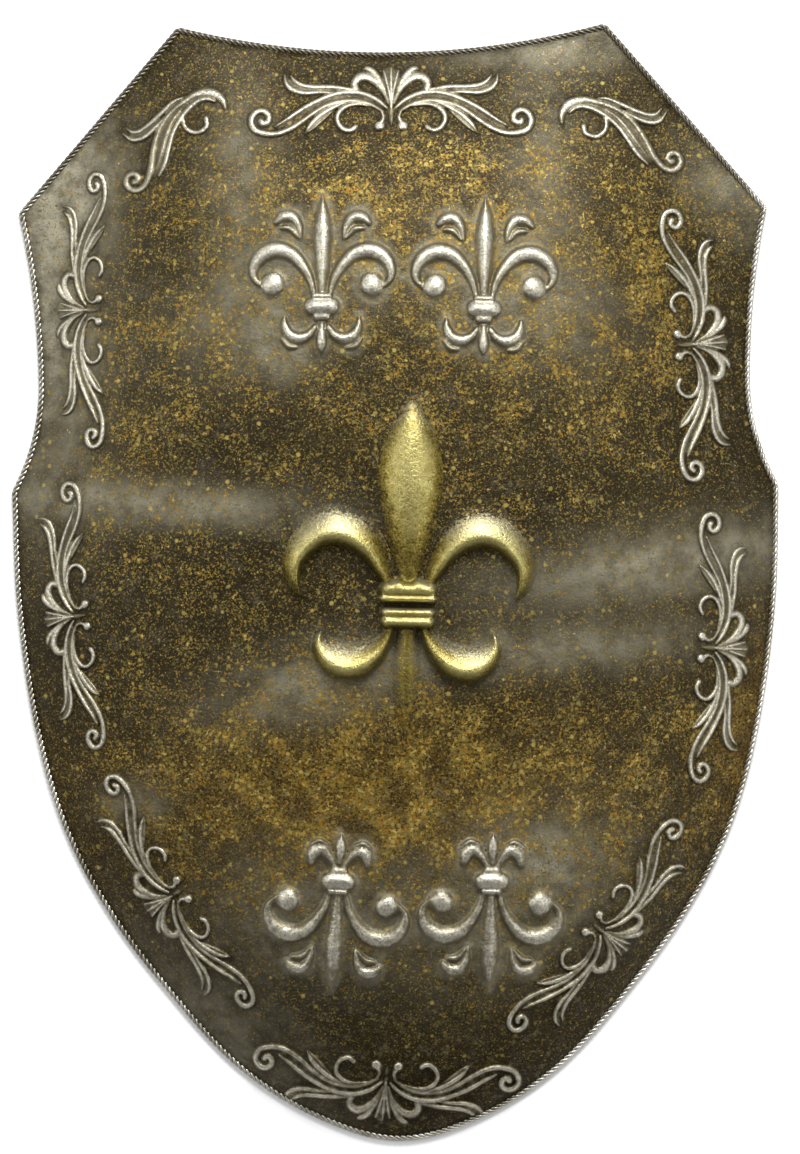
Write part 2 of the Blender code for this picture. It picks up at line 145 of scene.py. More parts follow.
def line(stations, crown=1.0, lean=0.0, power=2.0, foot=0.85):
    """One raised line: x, y and half-width at its stations, in millimetres. Its crown is a share
    of the ornament's relief and leans to one side; its power is how full its section is, and its
    foot how softly it rises out of the ground."""
    return {"course": smooth_curve(stations, 12), "crown": crown, "lean": lean, "power": power, "foot": foot}


def curl(eye, radius, start, turns, wide, close=0.17):
    """Stations that wind in round an eye, from a radius and a start angle in degrees."""
    share = np.linspace(0.0, 1.0, round(abs(turns) * 8) + 1)
    angle = np.radians(start) + share * turns * 2 * math.pi
    reach = radius * (1.0 - share * (1.0 - close))
    return [(eye[0] + r * math.cos(a), eye[1] + r * math.sin(a), wide) for r, a in zip(reach, angle)]


def mirrored(lines):
    """The lines as they stand on the other side of the ornament."""
    return [{**one, "course": one["course"] * (-1, 1, 1), "lean": -one["lean"]} for one in lines]


def half_spray():
    """Half of a leafy spray: a double-ribbed S-scroll that ends in a curl, with its leaves."""
    lower_rib = [(4.7, 1.0, 1.1), (11.7, 5.2, 1.59), (20.7, 7.5, 1.77), (29.6, 6.9, 1.77),
                 (38.6, 4.2, 1.77), (46.2, -0.6, 1.77), (52.6, -5.4, 1.83), (59, -9.3, 1.95),
                 (66, -11.8, 2.01)]
    lower_rib += curl((74.2, -3.4), 8.2, -95, 1.15, 2.3)
    return [
        line([(8, 4.5, 2.2), (18, 10, 3.6), (30, 9.6, 3.8), (42, 5.4, 3.9), (53, -1.6, 3.8),
              (64, -8.6, 2.8)], crown=0.30, power=3.0),
        line([(32, 14.0, 1.46), (46, 14.0, 2.6), (55, 15.4, 3), (60, 19.5, 2.2)], crown=0.42, power=3.0),
        line(lower_rib),
        line([(2.8, 3.4, 1.22), (7.9, 7.9, 1.65), (15.6, 11.6, 1.83), (24.5, 12.6, 1.83),
              (33.5, 11.2, 1.77), (43.7, 7.0, 1.77), (52.6, 1.9, 1.71), (59, -2.6, 1.46), (67, -7.6, 0.85)]),
        line([(25, 7.0, 0.98), (33.5, 3.6, 1.83), (41, -1.2, 1.95), (46.5, -6.6, 1.71),
              (49.6, -11.6, 0.73)]),
        line([(34, 1.2, 0.73), (39.4, -3.4, 1.34), (44.6, -8.2, 1.22), (48.6, -11.4, 0.61)], crown=0.7),
        line([(12, 4.2, 0.85), (19, 5.4, 1.34), (25.5, 4.4, 1.71), (30.3, 0.4, 1.83), (31, -4.6, 1.83),
              (28, -9.0, 1.83), (23.8, -10.2, 1.83), (20.4, -8.0, 1.83)]),
        line([(21, 14.0, 1.1), (33.5, 15.7, 1.71), (43.7, 15.8, 1.83), (51, 16.8, 1.71),
              (55.8, 19.6, 1.46), (58, 22.6, 0.85)]),
        line([(33.5, 12.4, 0.98), (42, 12.7, 1.59), (50.5, 12.3, 1.83), (57.6, 14.6, 1.83),
              (61, 18.8, 1.46), (61.6, 23.4, 0.73)]),
        line([(1.6, 6, 1.2), (4.4, 13.0, 2.0), (8.6, 18.6, 2.7), (13.4, 21.8, 3.0), (18.4, 21.6, 3.0),
              (21.2, 18.0, 2.8), (20.4, 14.4, 2.6)]),
        line([(2.4, 10, 1.0), (5.0, 17.0, 1.7), (8.8, 23.0, 2.2), (12.4, 26.4, 2.2), (15.0, 27.0, 1.5)]),
    ]


def spray():
    """A whole spray: two halves on a fluted shell, with a bead at each side of its foot."""
    half = half_spray() + [
        line([(6.4, -7.4, 3.0), (7.0, -7.6, 3.0)], crown=1.2, power=3.2),
        line([(5.6, 0.6, 1.1), (4.4, -2.4, 1.5), (6.2, -6.4, 1.9)]),
        line([(0.5, 4, 0.8), (1.2, 12, 1.0), (2.9, 20, 1.2), (4.4, 25.5, 0.8)]),
    ]
    return half + mirrored(half) + [
        line([(0, 5, 2.0), (0, 14, 3.6), (0, 23, 5.4)], crown=0.4, power=3.0),
        line([(0, 3, 1.0), (0, 12, 1.2), (0, 21, 1.3), (0, 27, 0.8)]),
        line([(0, 2, 2.2), (0, -3.6, 1.8), (0, -7.4, 0.7)], crown=0.5),
    ]


def corner_scroll():
    """A half spray that bends round a top corner, drawn along its own line."""
    upper = [(0.2, -1.2, 1.4), (-1.6, 4.4, 2.6), (0.6, 11.3, 3.3), (5.8, 15.6, 3.2), (10.9, 17.4, 2.8),
             (16, 17.9, 2.4), (26, 17.8, 2.2), (34.5, 16, 2.1), (43.6, 11.6, 2.1), (51.6, 5.0, 2.2),
             (56, 0.4, 2.3), (61, -5.0, 2.4), (68.0, -9.9, 2.4)] + curl((72.6, -3.6), 7.0, -78, 1.05, 2.4)
    return [
        line([(5, 12, 2.4), (15, 14.6, 3.8), (28, 12.8, 4.6), (40, 7.4, 5.0), (50, -0.8, 4.4),
              (60, -8.0, 2.6)], crown=0.42, power=3.0),
        line([(38, 18.2, 1.95), (48, 17.6, 3.2), (56.6, 20.4, 2.6)], crown=0.42, power=3.0),
        line(upper),
        line([(3.1, 6.8, 1.2), (5.6, 10.6, 1.6), (10.7, 12.9, 1.8), (18, 12.8, 1.9), (26.7, 10.4, 1.9),
              (35.4, 6.0, 1.9), (43.5, -0.4, 1.9), (51.0, -6.8, 1.8), (58.4, -11.0, 1.2)]),
        line([(24, 15.0, 1.0), (32, 12.2, 1.5), (40, 7.2, 1.6), (48, 0.6, 1.6), (56, -5.6, 1.0)], crown=0.8),
        line([(17.9, 20.6, 0.98), (24, 21.9, 1.7), (34, 20.6, 1.9), (44, 19.4, 1.9), (51.4, 19.4, 1.7),
              (55.6, 21.4, 1.5), (57.6, 25.6, 0.85)]),
        line([(34, 17.6, 0.85), (43, 15.4, 1.7), (52.2, 14.7, 1.9), (58.8, 17.8, 1.7), (61.2, 24.4, 0.85)]),
        line([(17.3, 14.4, 1.1), (24.5, 10.8, 1.7), (27.4, 3.4, 1.9), (23.4, -3.2, 2.0), (16.4, -3.4, 2.0),
              (13.6, 0.8, 2.3)]),
    ]


def half_small_fleur():
    """Half of a small lily, measured from the middle of its collar."""
    return [
        line([(5.0, 6.4, 2.2), (7.6, 16.4, 3.2), (13.4, 26.0, 4.4), (20.6, 32.4, 5.6), (29.4, 34.2, 6.2),
              (37.6, 30.8, 5.6), (42.2, 24.2, 4.2), (42.0, 17.0, 3.0), (37.4, 12.0, 2.2)],
             lean=0.15, power=2.3, foot=1.15),
        line([(31.2, 12.6, 8.0), (30.2, 13.8, 8.0)], crown=1.15, power=2.4),
        line([(13.4, 41.5, 1.6), (14.6, 49.4, 3.2), (18.8, 55.2, 4.4), (24.8, 55.2, 4.4), (28.8, 51.8, 2.6)],
             crown=0.95, foot=1.1),
        line([(15, 42.4, 1.6), (19.8, 47.8, 2.8), (25.8, 48.4, 2.0)], crown=0.7, foot=1.1),
    ]


# The pair of hooks under the collar: wide on the upper two lilies, short and fat on the lower two
upper_hook = [
    line([(4.0, -13.6, 2.6), (8.2, -18.6, 3.6), (14.2, -20.8, 4.8), (20.2, -18.2, 4.4), (23.2, -12, 3.2),
          (23.2, -7.4, 1.6)], lean=0.1, foot=1.1),
    line([(15.6, -26.2, 1.8), (20.4, -25.4, 2.6), (24.6, -20.8, 1.6)], crown=0.6, foot=1.1),
]
lower_hook = [
    line([(3.0, -9.5, 2.4), (6.4, -15.6, 3.6), (11.4, -20.2, 5.0), (16.2, -17.8, 5.4), (17.6, -12.2, 3.6)],
         lean=0.1, foot=1.1),
    line([(9.4, -23.6, 1.8), (14.0, -24.8, 2.6), (19.0, -21.8, 1.8)], crown=0.7, foot=1.1),
]


def small_fleur(reach, hook):
    """A small lily, whose spear reaches so far from the collar, with its pair of hooks."""
    half = half_small_fleur() + hook
    return half + mirrored(half) + [
        line([(0, 7.5, 3.0), (0, 0.28 * reach, 4.4), (0, 0.47 * reach, 5.8), (0, 0.66 * reach, 6.6),
              (0, 0.82 * reach, 4.8), (0, reach, 0.8)], power=1.8, foot=1.0),
        line([(-4.6, 5.8, 2.6), (4.6, 5.8, 2.6)], crown=1.0),
        line([(-5.6, -0.6, 6.2), (5.6, -0.6, 6.2)], crown=1.45),
        line([(-2.6, -6.8, 3.6), (2.6, -6.8, 3.6)], crown=0.9),
        line([(0, -12, 2.6), (0, -22.5, 4.2), (0, -29.5, 1.2)], power=1.8),
    ]


def half_great_fleur():
    """Half of the great lily, measured from the middle of its collar."""
    petal = [(11.5, 12, 4.2), (15.8, 22, 6.4), (23.2, 34.6, 9.2), (33.2, 43.6, 11.6), (45, 47.2, 12.4),
             (57, 44.4, 11.8), (66.6, 35.6, 10.0), (72.0, 24.4, 7.6), (71.4, 13.4, 5.0), (67.4, 5.0, 1.8)]
    hook = [(10.8, -14, 3.6), (14.8, -22.2, 6.2), (21.5, -30.4, 9.2), (30.5, -36.0, 11.6), (40, -36.8, 11.6),
            (48.4, -32.4, 9.2), (53.4, -25, 5.6), (53.2, -17.6, 1.6)]
    return [
        line(petal, lean=-0.38, power=1.45, foot=1.0),
        line(hook, crown=0.95, lean=-0.30, power=1.45, foot=1.0),
    ]


def great_fleur():
    """The great lily, bound by two pairs of bars."""
    bars = []
    for y, reach, half, crown in ((9.4, 13.0, 5.6, 1.25), (3.8, 15.4, 3.2, 1.15),
                                  (-4.9, 13.6, 4.0, 1.15), (-10.6, 13.0, 4.4, 1.15)):
        bars.append(line([(-reach, y, half), (reach, y, half)], crown=crown, power=2.4))
    humps = [line([(side * 5.4, 11.4, 5.6), (side * 9.4, 10.8, 5.2)], crown=1.28) for side in (-1, 1)]
    return half_great_fleur() + mirrored(half_great_fleur()) + bars + humps + [
        line([(0, 13, 8.0), (0, 24, 9.6), (0, 41, 14.6), (0, 60, 19.4), (0, 76, 22.0), (0, 90, 21.4),
              (0, 104, 16.6), (0, 117, 9.0), (0, 128, 0.8)], crown=0.95, power=2.0, foot=1.05),
        line([(0, -13, 6.0), (0, -24, 7.8), (0, -38, 9.6), (0, -52, 9.0), (0, -66, 6.4), (0, -80, 1.6)],
             crown=0.55, power=1.8, foot=1.2),
    ]


def placed(lines, middle, turn, relief, scale=1.0, squeeze=1.0):
    """The lines of an ornament set down on the plan in metres, its own +Y along the turn."""
    angle = math.radians(turn)
    along = np.array([math.cos(angle), math.sin(angle)])
    beside = np.array([along[1], -along[0]])
    done = []
    for one in lines:
        x, y, wide = one["course"].T * millimetre * scale
        spot = np.outer(y * squeeze, along) + np.outer(x, beside) + middle
        course = np.column_stack([spot, wide * math.sqrt(squeeze)])
        done.append({**one, "course": course, "relief": relief * one["crown"]})
    return done


# Sprays along the edge: share of the height down from the top, distance in from the edge,
# direction their shell points, size as a share of the drawing, and depth across the line
left_sprays = ((0.254, 0.0330, 179.1, 1.057, 0.70), (0.527, 0.0356, 185.5, 1.024, 0.74),
               (0.7755, 0.0474, 211.1, 1.032, 0.75))
right_sprays = ((0.2897, 0.0370, 4.2, 1.043, 0.86), (0.5603, 0.0357, -3.0, 1.030, 0.81),
                (0.810, 0.0465, -39.5, 1.023, 0.80))
spray_relief = 0.0023
small_fleur_relief = 0.0044
great_fleur_relief = 0.0105
top_y = shield_height / 2
edge_step = 0.003
edge_sample_step = 0.0008

outline, corners = outline_loop(edge_step)
edge = inset_loop(outline, edge_inset)
flank = edge[:corners[1] + 1]
top_arc = edge[corners[2]:corners[3] + 1][::-1]
slant_run = edge[corners[2]] - edge[corners[1]]
slant_run /= np.linalg.norm(slant_run)
edge_points = even_steps(np.vstack([edge, edge[:1]]), edge_sample_step)
edge_tree = kdtree.KDTree(len(edge_points))
for index, (x, y) in enumerate(edge_points):
    edge_tree.insert((x, y, 0.0), index)
edge_tree.balance()


def edge_distance(points):
    """How far each point of the plan lies from the sheet's edge."""
    return np.array([edge_tree.find((x, y, 0.0))[2] for x, y in points])


def dish_height(points):
    """Height of the dished face above its level edge."""
    x, y = np.abs(points[:, 0]), points[:, 1]
    across = np.clip(x / np.maximum(np.interp(y, flank[:, 1], flank[:, 0]), millimetre), 0.0, 1.0)
    from_slant = (flank[-1, 0] - x) * slant_run[1] - (flank[-1, 1] - y) * slant_run[0]
    from_top = np.interp(x, top_arc[:, 0], top_arc[:, 1]) - y
    rise = 1.0 - across**side_power
    for distance, fall in ((from_slant, slant_fall), (from_top, top_fall), (y - flank[0, 1], tip_fall)):
        rise = rise * (1.0 - np.exp(-np.maximum(distance, 0.0) / fall))
    return dish_depth * rise


top_spray_spot = (-0.0004, top_y - top_dip - 0.0398)
bottom_spray_spot = (-0.0087, -top_y + 0.0414)
spray_lines = placed(spray(), top_spray_spot, 89.7, spray_relief, 1.08)
spray_lines += placed(spray(), bottom_spray_spot, -95.8, spray_relief, 1.022)
for side, sprays in ((-1, left_sprays), (1, right_sprays)):
    for down, inset, turn, share, squeeze in sprays:
        spray_y = top_y - down * shield_height
        spray_x = side * (np.interp(spray_y, flank[:, 1], flank[:, 0]) - inset)
        spray_lines += placed(spray(), (spray_x, spray_y), turn, spray_relief, share, squeeze)
left_corner_spot = (-top_half_width + 0.0297, top_y - 0.0516)
right_corner_spot = (top_half_width - 0.0277, top_y - 0.0626)
spray_lines += placed(mirrored(corner_scroll()), left_corner_spot, 125.5, spray_relief)
spray_lines += placed(corner_scroll(), right_corner_spot, 73.8, spray_relief)

# Small lilies: side, share of the height down to the collar, direction and reach of the spear, hooks
small_lilies = ((-0.0444, 0.2536, 89.1, 69, upper_hook), (0.0560, 0.2571, 88.5, 69, upper_hook),
                (-0.0373, 0.7645, -94.4, 67, lower_hook), (0.0578, 0.7656, -92.2, 67, lower_hook))
lily_lines = []
for x, down, turn, reach, hook in small_lilies:
    collar = (x, top_y - down * shield_height)
    lily_lines += placed(small_fleur(reach, hook), collar, turn, small_fleur_relief)
great_collar = (0.0073, top_y - 0.5193 * shield_height)
gold_lines = placed(great_fleur(), great_collar, 88.3, great_fleur_relief)


line_step = 0.0016
foot_reach = 1.9
far_off = 9.0
taper_power = 0.6
least_run = 1e-6
least_width = 1e-5


def raised(points, lines):
    """How far the lines lift each point, and how many half-widths it lies from the nearest line."""
    lift, away = np.zeros(len(points)), np.full(len(points), far_off)
    for one in lines:
        course = even_steps(one["course"], line_step)
        widest = course[:, 2].max()
        reach_out = widest * foot_reach
        low, high = course[:, :2].min(axis=0) - reach_out, course[:, :2].max(axis=0) + reach_out
        near = np.flatnonzero(((points > low) & (points < high)).all(axis=1))
        if not len(near):
            continue
        start, run = course[:-1], np.diff(course, axis=0)
        offset = points[near][:, None, :] - start[None, :, :2]
        square = np.maximum((run[:, :2]**2).sum(axis=1), least_run**2)
        along = np.clip((offset * run[:, :2]).sum(axis=2) / square, 0.0, 1.0)
        gap = offset - along[:, :, None] * run[None, :, :2]
        wide = start[:, 2] + along * run[:, 2]
        reach = np.hypot(gap[:, :, 0], gap[:, :, 1]) / np.maximum(wide, least_width)
        best, rows = reach.argmin(axis=1), np.arange(len(near))
        turn = run[best, 0] * gap[rows, best, 1] - run[best, 1] * gap[rows, best, 0]
        across = reach[rows, best] * np.where(turn < 0.0, -1.0, 1.0)
        lean = one["lean"]
        from_crown = np.abs(across - lean) / np.where(across < lean, 1.0 + lean, 1.0 - lean)
        profile = (1.0 - np.clip(from_crown, 0.0, 1.0)**one["power"])**one["foot"]
        height = one["relief"] * (wide[rows, best] / widest)**taper_power * profile
        lift[near] = np.maximum(lift[near], height)
        away[near] = np.minimum(away[near], reach[rows, best])
    return lift, away


broad_end = 0.0020
cap_angles = np.radians(np.linspace(-75, 75, 7))
cap_shares = (0.5, 0.8, 1.04, 1.3)
cover_share = 0.02
weld_distance = 0.00028
edge_margin = 0.0012
edge_clearance = 0.40
point_clearance = 0.45
row_spacing = math.sqrt(0.75)


def lay_out(lines, ground_step, along_step, row_sets):
    """Points of one face of the sheet as seen from above: rows along its raised lines, which are
    left out where another line covers them, then the bare ground in staggered rows."""
    rows_of_lines = []
    for one in lines:
        course = even_steps(one["course"], along_step)
        ahead = np.gradient(course[:, :2], axis=0)
        ahead /= np.maximum(np.linalg.norm(ahead, axis=1), least_run)[:, None]
        beside = np.stack([-ahead[:, 1], ahead[:, 0]], axis=1)
        widest = course[:, 2].max()
        rows = next(rows for limit, rows in row_sets if widest < limit)
        body = [course[:, :2] + beside * course[:, 2:] * row for row in rows]
        for end, outward in ((0, -1), (-1, 1)):
            wide = course[end, 2]
            fan = cap_angles if wide > broad_end else np.zeros(1)
            for share in cap_shares if wide > broad_end else (1.0,):
                arms = np.outer(np.cos(fan), ahead[end] * outward) + np.outer(np.sin(fan), beside[end])
                body.append(course[end, :2] + arms * wide * share)
        body = np.vstack(body)
        own, _ = raised(body, [one])
        lift, _ = raised(body, lines)
        rows_of_lines.append(body[lift <= own + cover_share * one["relief"]])
    found = np.vstack(rows_of_lines)
    low, high = edge.min(axis=0), edge.max(axis=0)
    rows = []
    for row, y in enumerate(np.arange(low[1], high[1], ground_step * row_spacing)):
        columns = np.arange(low[0] + 0.5 * (row % 2) * ground_step, high[0], ground_step)
        rows.append(np.stack([columns, np.full(len(columns), y)], axis=1))
    ground = np.vstack(rows)
    ground = ground[dish_height(ground) > 0.0]
    ground = ground[edge_distance(ground) > ground_step * edge_clearance]
    found = found[dish_height(found) > 0.0]
    found = found[edge_distance(found) > edge_margin]
    cells, kept = {}, [tuple(spot) for spot in edge]
    for x, y in found:
        column, row = math.floor(x / weld_distance), math.floor(y / weld_distance)
        around = [(column + i, row + j) for i in (-1, 0, 1) for j in (-1, 0, 1)]
        if all(math.dist(cells.get(cell, (far_off, far_off)), (x, y)) > weld_distance for cell in around):
            cells[column, row] = (x, y)
            kept.append((x, y))
    taken = kdtree.KDTree(len(kept))
    for index, (x, y) in enumerate(kept):
        taken.insert((x, y, 0.0), index)
    taken.balance()
    kept += [(x, y) for x, y in ground if taken.find((x, y, 0.0))[2] > ground_step * point_clearance]
    return np.array(kept)


sliver = 1e-7


def triangles(spots):
    """The triangles between the points, all turned up, without those outside the edge."""
    count = len(edge)
    fixed = [(i, (i + 1) % count) for i in range(count)]
    points, _, faces, *_ = geometry.delaunay_2d_cdt([Vector(spot) for spot in spots], fixed, [], 0, sliver)
    points, faces = np.array([tuple(point) for point in points]), np.array(faces)
    a, b, c = (points[faces[:, corner]] for corner in range(3))
    area = (b[:, 0] - a[:, 0]) * (c[:, 1] - a[:, 1]) - (b[:, 1] - a[:, 1]) * (c[:, 0] - a[:, 0])
    faces[area < 0.0] = faces[area < 0.0][:, ::-1]
    # A triangle outside the edge has all its corners on it, and runs backwards along it
    on_edge = (faces < count).all(axis=1)
    ordered = np.sort(faces, axis=1)
    forward = np.array([(f[1] - f[0]) * (f[2] - f[1]) * (f[0] - f[2]) for f in faces]) < 0
    return points, faces[~on_edge | forward]


hammer_depth = 0.0009
broad_waves, fine_waves = 16, 42


def undulation(points):
    """The gentle unevenness that the hammer leaves in the ground."""
    broad = [noise.noise(Vector((x * broad_waves, y * broad_waves, 0.3))) for x, y in points]
    fine = [noise.noise(Vector((x * fine_waves, y * fine_waves, 4.0))) for x, y in points]
    return hammer_depth * (np.array(broad) + 0.5 * np.array(fine))


# Rows of points along a raised line, as shares of its half-width: more of them where it is wider
rib_width = 0.0021
leaf_width = 0.006
rib_rows = (-1.5, -1.04, -0.68, -0.34, 0.0, 0.34, 0.68, 1.04, 1.5)
leaf_rows = (-1.4, -1.02, -0.78, -0.52, -0.26, 0.0, 0.26, 0.52, 0.78, 1.02, 1.4)
lobe_rows = tuple(np.concatenate([[-1.25, -1.03], np.linspace(-0.92, 0.92, 13), [1.03, 1.25]]))
front_rows = ((rib_width, rib_rows), (leaf_width, leaf_rows), (math.inf, lobe_rows))
back_rows = ((rib_width, (-1.2, 0.0, 1.2)), (leaf_width, (-1.2, -0.6, 0.0, 0.6, 1.2)),
             (math.inf, lobe_rows[1:-1:2]))
edge_blend = 0.004
back_softening = 0.85
steepest = 1.5

ornaments = (("spray", spray_lines, spray_relief), ("lily", lily_lines, small_fleur_relief),
             ("gold", gold_lines, great_fleur_relief))
all_lines = spray_lines + lily_lines + gold_lines
# Marks that colour the sheet, kept at its points: how high a raised line is there, and how near its
# foot lies. Those further down say where it is spattered, rubbed, worn, tarnished, or lit by painted
# highlights.
faces_of_sheet, points_of_sheet, marks = [], [], {}
rim_level = rope_radius + sheet_thickness / 2
# Each face of the sheet: step of its bare ground, step along its raised lines, rows of points
front_mesh = (0.0052, 0.0017, front_rows)
back_mesh = (0.009, 0.0040, back_rows)
for is_back, fineness in ((False, front_mesh), (True, back_mesh)):
    plan, faces = triangles(lay_out(all_lines, *fineness))
    inside = np.clip(edge_distance(plan) / edge_blend, 0.0, 1.0)
    lifts = []
    for name, lines, relief in ornaments:
        lift, away = raised(plan, lines)
        lifts.append(lift)
        foot = np.clip((foot_reach - away) / (foot_reach - 1.0), 0.0, 1.0)
        marks.setdefault(name, []).append(np.zeros(len(plan)) if is_back else lift / relief)
        if name != "gold":
            marks.setdefault(name + "_foot", []).append(np.zeros(len(plan)) if is_back else foot)
    lift = np.max(lifts, axis=0) * (back_softening if is_back else 1.0)
    ground = dish_height(plan) + undulation(plan) * inside
    down = 0.0
    if is_back:
        slopes = [(dish_height(plan + shift) - dish_height(plan - shift)) / (2 * millimetre)
                  for shift in np.array([(millimetre, 0.0), (0.0, millimetre)])]
        down = sheet_thickness * np.sqrt(1.0 + np.minimum(np.hypot(*slopes), steepest)**2 * (inside > 0))
        faces = faces[:, ::-1]
    z = rim_level + ground + inside * lift - down
    faces_of_sheet.append(faces + sum(len(part) for part in points_of_sheet))
    points_of_sheet.append(np.column_stack([plan, z]))

# Where the gold spatter was thrown, and where the bronzing is partly rubbed grey and partly painted with pale
# reflections of the lamps: soft patches, each by its middle, its half-sizes, its turn in degrees and its
# strength
spatter_patches = (
    ((0.000, 0.000), (0.240, 0.340), 0, 0.30), ((0.000, 0.240), (0.210, 0.100), 0, 0.80),
    ((-0.020, 0.110), (0.170, 0.080), 0, 0.35), ((0.130, 0.110), (0.100, 0.100), 0, 0.35),
    ((0.000, -0.135), (0.210, 0.075), 0, 1.15), ((0.215, -0.105), (0.040, 0.080), -12, 0.95),
    ((-0.120, -0.040), (0.100, 0.080), 0, 0.25), ((0.080, -0.230), (0.120, 0.060), 20, 0.30),
    ((-0.170, 0.110), (0.060, 0.120), 0, 0.45), ((0.180, 0.200), (0.060, 0.090), 0, 0.45),
)
amber_patches = (
    ((0.221, -0.105), (0.022, 0.065), -10, 1.0), ((-0.020, -0.135), (0.150, 0.055), 0, 0.90),
    ((0.020, 0.215), (0.110, 0.050), 0, 0.25), ((0.130, 0.165), (0.060, 0.060), 0, 0.20),
)
# Pale grey patches: painted reflections of the lamps on the dished sheet, partly real rubbed wear
sheen_and_wear_patches = (
    ((-0.145, 0.050), (0.085, 0.012), -3, 0.75), ((0.165, 0.012), (0.095, 0.020), 8, 0.75),
    ((0.100, -0.042), (0.085, 0.014), 4, 0.55), ((-0.050, -0.062), (0.060, 0.022), 12, 0.60),
    ((-0.070, 0.142), (0.020, 0.016), 0, 0.65), ((-0.095, 0.255), (0.022, 0.060), 0, 0.35),
    ((0.093, 0.255), (0.022, 0.060), 0, 0.30), ((-0.205, 0.245), (0.050, 0.030), 40, 0.55),
    ((0.215, 0.240), (0.040, 0.022), -40, 0.45), ((-0.165, -0.135), (0.020, 0.012), 0, 0.55),
    ((0.090, -0.170), (0.035, 0.022), -20, 0.50), ((-0.080, 0.175), (0.060, 0.035), 20, 0.45),
    ((0.080, 0.175), (0.060, 0.035), -20, 0.45), ((-0.060, -0.205), (0.060, 0.040), 0, 0.40),
    ((0.075, -0.200), (0.070, 0.045), 20, 0.45), ((0.095, 0.335), (0.070, 0.014), 0, 0.55),
    ((-0.100, -0.280), (0.080, 0.025), -40, 0.35), ((-0.213, 0.190), (0.030, 0.120), 0, 0.85),
)


most_of_patches = 1.2


def patchy(points, patches):
    """The sum of the soft patches at each point."""
    total = np.zeros(len(points))
    for middle, (wide, tall), turn, strength in patches:
        angle = math.radians(turn)
        x, y = (points - middle).T
        along = (x * math.cos(angle) + y * math.sin(angle)) / wide
        across = (y * math.cos(angle) - x * math.sin(angle)) / tall
        total += strength * np.exp(-(along**2 + across**2))
    return np.clip(total, 0.0, most_of_patches)


# Where the gilding is worn thin: the foot of the middle petal and the spike under the collar
worn_patches = (
    ((0.006, 0.016), (0.018, 0.040), 0, 0.70), ((0.007, -0.085), (0.030, 0.050), 0, 0.75),
)
worn_share = 0.5
slope_reach = 0.0014
highlight_least, highlight_span = 0.02, 0.10
rim_reach = 0.055
rim_spatter, middle_spatter = 0.6, 0.4
low_from, low_fade = -0.10, 0.04
tarnish_from, tarnish_fade = 0.235, 0.05

for points, front in zip(points_of_sheet, (1.0, 0.0)):
    plan = points[:, :2]
    from_rim = np.clip(edge_distance(plan) / rim_reach, 0.0, 1.0)
    thickness = rim_spatter + middle_spatter * from_rim
    marks.setdefault("spatter", []).append(front * patchy(plan, spatter_patches) * thickness)
    marks.setdefault("amber", []).append(front * patchy(plan, amber_patches))
    marks.setdefault("sheen_and_rubbing", []).append(front * patchy(plan, sheen_and_wear_patches))

marks["gold"] = [gold * (1.0 - worn_share * patchy(points[:, :2], worn_patches))
                 for gold, points in zip(marks["gold"], points_of_sheet)]
# The great lily has a painted highlight: pale gilt on its slopes that face the shield's top, towards the
# key lamp. Further down the shield the silver is duller, and most worn on its lowest third.
beyond = [raised(points[:, :2] + (0.0, slope_reach), gold_lines)[0] for points in points_of_sheet]
marks["gold_top"] = [np.clip(gold - further / great_fleur_relief - highlight_least, 0.0, highlight_span) / highlight_span
                     for gold, further in zip(marks["gold"], beyond)]
for name, start, fade in (("low", low_from, low_fade), ("tarnish", tarnish_from, tarnish_fade)):
    marks[name] = [np.clip((start - points[:, 1]) / fade, 0.0, 1.0) for points in points_of_sheet]

front_count = len(points_of_sheet[0])
rim = [(i, (i + 1) % len(edge)) for i in range(len(edge))]
rim_faces = [(front_count + here, front_count + there, there, here) for here, there in rim]
sheet_faces = [tuple(face) for part in faces_of_sheet for face in part] + rim_faces
sheet_mesh = bpy.data.meshes.new("shield_sheet")
sheet_mesh.from_pydata(np.vstack(points_of_sheet).tolist(), [], sheet_faces)
sheet_mesh.validate()
for name, parts in marks.items():
    layer = sheet_mesh.attributes.new(name, "FLOAT", "POINT")
    layer.data.foreach_set("value", np.concatenate(parts).astype(np.float32))
sheet = bpy.data.objects.new("shield_sheet", sheet_mesh)
bpy.context.scene.collection.objects.link(sheet)
sheet_mesh.shade_smooth()


def add_node(tree, kind, inputs=None, **settings):
    """A node of the tree, with its settings, and its inputs set or linked by name or number."""
    made = tree.nodes.new(kind)
    for name, value in settings.items():
        setattr(made, name, value)
    for key, value in (inputs or {}).items():
        if isinstance(value, bpy.types.NodeSocket):
            tree.links.new(value, made.inputs[key])
        else:
            made.inputs[key].default_value = value
    return made


def maths(tree, operation, first, second):
    return add_node(tree, "ShaderNodeMath", {0: first, 1: second}, operation=operation).outputs[0]


def ramp(tree, value, low, high, bottom=0.0, top=1.0):
    """The value taken smoothly from bottom at low to top at high."""
    made = add_node(tree, "ShaderNodeMapRange", {0: value, 1: low, 2: high, 3: bottom, 4: top},
                    interpolation_type="SMOOTHSTEP")
    return made.outputs[0]


def mixed(tree, share, first, second):
    """The first colour, taken over by the second as far as the share says."""
    return add_node(tree, "ShaderNodeMix", {0: share, 6: first, 7: second}, data_type="RGBA").outputs[2]


def clouds(tree, place, scale, detail=4.0, roughness=0.55, distortion=0.0):
    """Cloudy noise at a place, round about one half."""
    made = add_node(tree, "ShaderNodeTexNoise", {"Vector": place, "Scale": scale, "Detail": detail,
                                                 "Roughness": roughness, "Distortion": distortion})
    return made.outputs[0]


